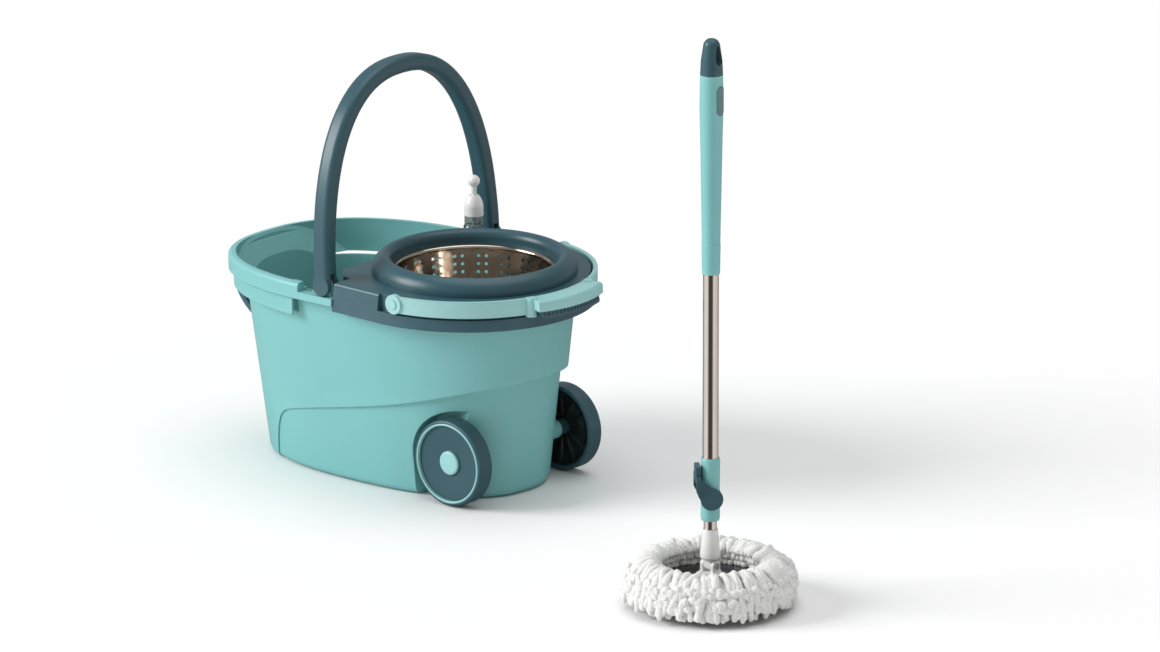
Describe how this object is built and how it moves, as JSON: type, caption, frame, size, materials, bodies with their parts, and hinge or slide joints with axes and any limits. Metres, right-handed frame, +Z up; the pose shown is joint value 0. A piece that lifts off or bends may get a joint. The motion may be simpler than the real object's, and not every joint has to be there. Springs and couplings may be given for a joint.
{
  "type": "spin mop",
  "caption": "Wheeled mop bucket with a perforated spin basket, folding bail, pull handle and soap pump, and a telescopic mop with a round fringe head.",
  "frame": {"origin": "on the floor under the middle of the bucket's flat base", "axes": "+Z up; +X towards the bucket's wheels, wringer and pull handle; -X towards the pouring lip"},
  "size_m": [1.0024, 0.4636, 0.687],
  "materials": {
    "mint": "satin mint polypropylene, fine grain",
    "mint_pale": "satin pale mint polypropylene",
    "teal": "satin dark teal polypropylene",
    "white_plastic": "glossy white plastic",
    "clear_plastic": "clear slightly cloudy plastic",
    "grey_plastic": "dark grey plastic plate",
    "steel": "polished stainless steel",
    "zinc": "plain bright steel",
    "fringe": "white microfibre strands"
  },
  "bodies": {
    "bucket": {"bucket_shell": "mint", "pour_grip": "teal", "wringer_deck": "teal", "splash_collar": "teal", "basket_post": "teal", "pivot_pin": "zinc", "axle_near": "zinc", "axle_far": "zinc", "axle_clip_near": "zinc", "axle_clip_far": "zinc", "soap_bottle": "clear_plastic", "bottle_cap": "white_plastic", "dip_tube": "clear_plastic", "pump_spring": "zinc", "pull_pins": "mint_pale"},
    "bail": {"bail_handle": "teal", "bail_pin_near": "zinc", "bail_pin_far": "zinc"},
    "pull": {"pull_handle": "mint_pale", "pull_grip_pad": "teal"},
    "near_wheel": {"wheel_near": "teal", "wheel_ring_near": "mint_pale", "hub_cap_near": "mint_pale"},
    "far_wheel": {"wheel_far": "teal", "wheel_ring_far": "mint_pale", "hub_cap_far": "mint_pale"},
    "basket": {"basket_wall": "steel", "basket_floor": "steel", "basket_hub": "white_plastic", "hub_bush": "white_plastic", "hub_screws": "zinc"},
    "pump": {"pump_head": "white_plastic"},
    "head": {"mop_plate": "grey_plastic", "fringe_ring": "grey_plastic", "mop_fringe": "fringe", "head_hub": "white_plastic", "spin_bearing": "zinc"},
    "swivel": {"swivel_yoke": "white_plastic", "hinge_pin": "zinc"},
    "shaft": {"mop_socket": "white_plastic", "inner_tube": "steel", "nut_housing": "white_plastic"},
    "nut": {"drive_nut": "white_plastic"},
    "pole": {"outer_tube": "steel", "clamp_body": "mint", "clamp_pins": "zinc", "pole_grip": "mint", "end_cap": "teal", "grip_badge": "mint_pale", "twist_spindle": "zinc", "spindle_plug": "teal"},
    "lever": {"clamp_lever": "teal"}
  },
  "joints": [
    {"name": "bail_fold", "type": "hinge", "parent": "bucket", "child": "bail", "pos_m": [-0.0085, 0, 0.254], "axis": [0, -1, 0], "range_deg": [-3.5, 68]},
    {"name": "pull_lift", "type": "hinge", "parent": "bucket", "child": "pull", "pos_m": [0.108, 0, 0.253], "axis": [0, -1, 0], "range_deg": [0, 95]},
    {"name": "near_wheel_spin", "type": "hinge", "parent": "bucket", "child": "near_wheel", "pos_m": [0.154, -0.1, 0.0533], "axis": [0, 1, 0], "continuous": true},
    {"name": "far_wheel_spin", "type": "hinge", "parent": "bucket", "child": "far_wheel", "pos_m": [0.154, 0.1, 0.0533], "axis": [0, 1, 0], "continuous": true},
    {"name": "basket_spin", "type": "hinge", "parent": "bucket", "child": "basket", "pos_m": [0.1, 0, 0.18], "axis": [0, 0, 1], "continuous": true},
    {"name": "pump_press", "type": "slide", "parent": "bucket", "child": "pump", "axis": [0, 0, -1], "range_m": [0, 0.008], "stiffness_N_per_m": 250, "springref_m": -0.004, "deforming": ["pump_spring"]},
    {"name": "mop_lift", "type": "slide", "parent": "bucket", "child": "head", "axis": [0, 0, 1], "range_m": [0, 0.4]},
    {"name": "head_spin", "type": "hinge", "parent": "head", "child": "swivel", "pos_m": [0.645, -0.197, 0.038], "axis": [0, 0, -1], "continuous": true},
    {"name": "pole_tilt", "type": "hinge", "parent": "swivel", "child": "shaft", "pos_m": [0.645, -0.197, 0.049], "axis": [1, 0, 0], "range_deg": [-65, 65]},
    {"name": "pole_extend", "type": "slide", "parent": "shaft", "child": "pole", "axis": [0, 0, 1], "range_m": [0, 0.34]},
    {"name": "nut_turn", "type": "hinge", "parent": "shaft", "child": "nut", "pos_m": [0.645, -0.197, 0.55], "axis": [0, 0, 1], "range_deg": [-1240, 10]},
    {"name": "clamp_open", "type": "hinge", "parent": "pole", "child": "lever", "pos_m": [0.645, -0.197, 0.133], "axis": [0.7431, -0.6691, 0], "range_deg": [0, 110]}
  ],
  "couplings": [
    {"joint": "nut_turn", "follows": "pole_extend", "rad_per_m": -62.832}
  ]
}
